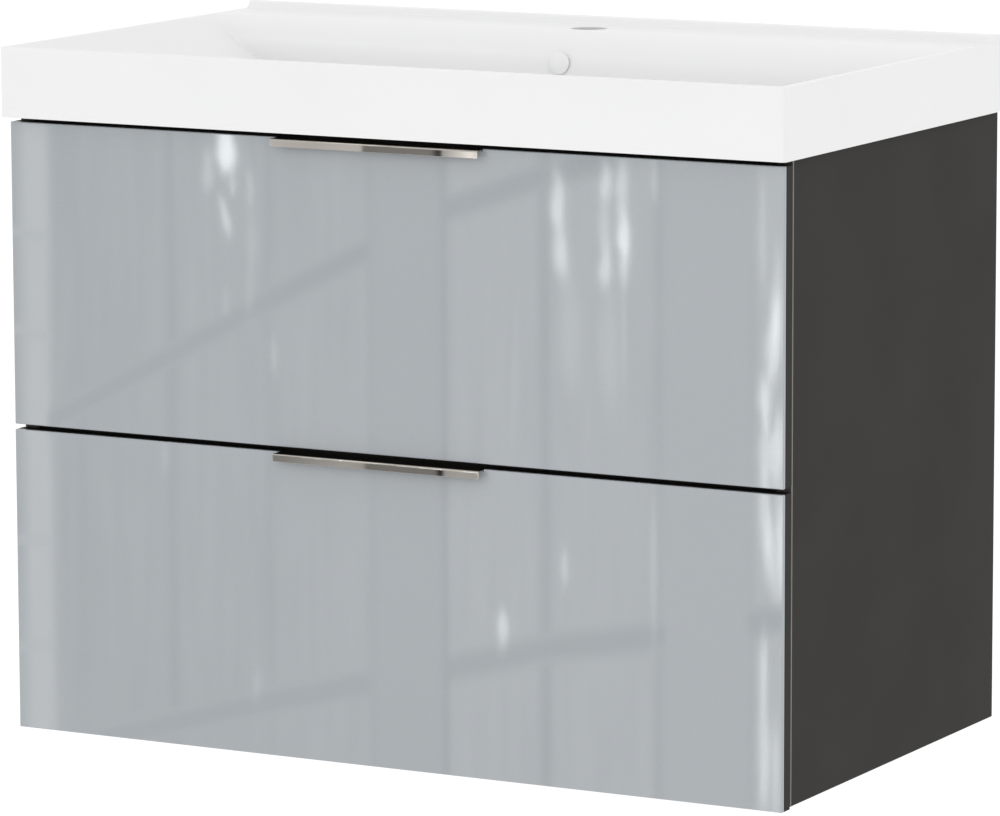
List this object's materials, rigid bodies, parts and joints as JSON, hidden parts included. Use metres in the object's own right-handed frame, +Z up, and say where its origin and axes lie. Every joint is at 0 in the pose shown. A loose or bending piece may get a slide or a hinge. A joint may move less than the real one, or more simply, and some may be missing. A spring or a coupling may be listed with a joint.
{
  "type": "bathroom vanity cabinet",
  "caption": "Wall-hung bathroom vanity with cast rectangular washbasin, glossy grey drawer fronts with edge-pull handles and an anthracite case.",
  "frame": {"origin": "middle of the wall-side face of the upper rear rail, on the wall plane", "axes": "+X to the right as the user faces the unit, +Y into the wall, +Z up"},
  "size_m": [0.81, 0.4675, 0.6519],
  "materials": {
    "anthracite_board": "anthracite melamine-faced board, matt",
    "grey_gloss_face": "grey high-gloss acrylic glass sheet",
    "white_cast": "white cast mineral with a glossy gel coat",
    "brushed_nickel": "brushed, nickel plated",
    "white_plastic": "white glossy plastic",
    "grey_plastic": "moulded grey plastic",
    "zinc_steel": "bright zinc plated sheet",
    "drawer_board": "light grey melamine-faced board, fine woven texture",
    "clear_rubber": "clear self-adhesive buffer"
  },
  "bodies": {
    "cabinet": {"side_panel_left": "anthracite_board", "side_panel_right": "anthracite_board", "bottom_panel": "anthracite_board", "front_rail": "anthracite_board", "middle_rail": "anthracite_board", "rear_rail": "anthracite_board", "lower_rear_rail": "anthracite_board", "washbasin": "white_cast", "overflow_cap": "white_plastic", "hanger_housing_left": "grey_plastic", "hanger_housing_right": "grey_plastic", "hanger_hook_left": "zinc_steel", "hanger_hook_right": "zinc_steel", "wall_plate_left": "zinc_steel", "wall_plate_right": "zinc_steel", "upper_drawer_runner_cabinet_left": "zinc_steel", "upper_drawer_runner_cabinet_right": "zinc_steel", "lower_drawer_runner_cabinet_left": "zinc_steel", "lower_drawer_runner_cabinet_right": "zinc_steel"},
    "upper_drawer": {"upper_drawer_front_board": "anthracite_board", "upper_drawer_front_face": "grey_gloss_face", "upper_drawer_handle": "brushed_nickel", "upper_drawer_trap_surround": "grey_plastic", "upper_drawer_back_left": "drawer_board", "upper_drawer_back_right": "drawer_board", "upper_drawer_bottom": "drawer_board", "upper_drawer_side_left": "drawer_board", "upper_drawer_front_bracket_left": "zinc_steel", "upper_drawer_handle_screw_left": "zinc_steel", "upper_drawer_runner_drawer_left": "zinc_steel", "upper_drawer_bumper_left": "clear_rubber", "upper_drawer_side_right": "drawer_board", "upper_drawer_front_bracket_right": "zinc_steel", "upper_drawer_handle_screw_right": "zinc_steel", "upper_drawer_runner_drawer_right": "zinc_steel", "upper_drawer_bumper_right": "clear_rubber"},
    "lower_drawer": {"lower_drawer_front_board": "anthracite_board", "lower_drawer_front_face": "grey_gloss_face", "lower_drawer_handle": "brushed_nickel", "lower_drawer_back": "drawer_board", "lower_drawer_bottom": "drawer_board", "lower_drawer_side_left": "drawer_board", "lower_drawer_front_bracket_left": "zinc_steel", "lower_drawer_handle_screw_left": "zinc_steel", "lower_drawer_runner_drawer_left": "zinc_steel", "lower_drawer_bumper_left": "clear_rubber", "lower_drawer_side_right": "drawer_board", "lower_drawer_front_bracket_right": "zinc_steel", "lower_drawer_handle_screw_right": "zinc_steel", "lower_drawer_runner_drawer_right": "zinc_steel", "lower_drawer_bumper_right": "clear_rubber"},
    "upper_runner_middles": {"upper_drawer_runner_middle_left": "zinc_steel", "upper_drawer_runner_middle_right": "zinc_steel"},
    "lower_runner_middles": {"lower_drawer_runner_middle_left": "zinc_steel", "lower_drawer_runner_middle_right": "zinc_steel"}
  },
  "joints": [
    {"name": "upper_drawer_slide", "type": "slide", "parent": "cabinet", "child": "upper_drawer", "axis": [0, -1, 0], "range_m": [0, 0.4]},
    {"name": "upper_middle_slide", "type": "slide", "parent": "cabinet", "child": "upper_runner_middles", "axis": [0, -1, 0], "range_m": [0, 0.2]},
    {"name": "lower_drawer_slide", "type": "slide", "parent": "cabinet", "child": "lower_drawer", "axis": [0, -1, 0], "range_m": [0, 0.4]},
    {"name": "lower_middle_slide", "type": "slide", "parent": "cabinet", "child": "lower_runner_middles", "axis": [0, -1, 0], "range_m": [0, 0.2]}
  ],
  "couplings": [
    {"joint": "upper_middle_slide", "follows": "upper_drawer_slide", "ratio": 0.5},
    {"joint": "lower_middle_slide", "follows": "lower_drawer_slide", "ratio": 0.5}
  ]
}
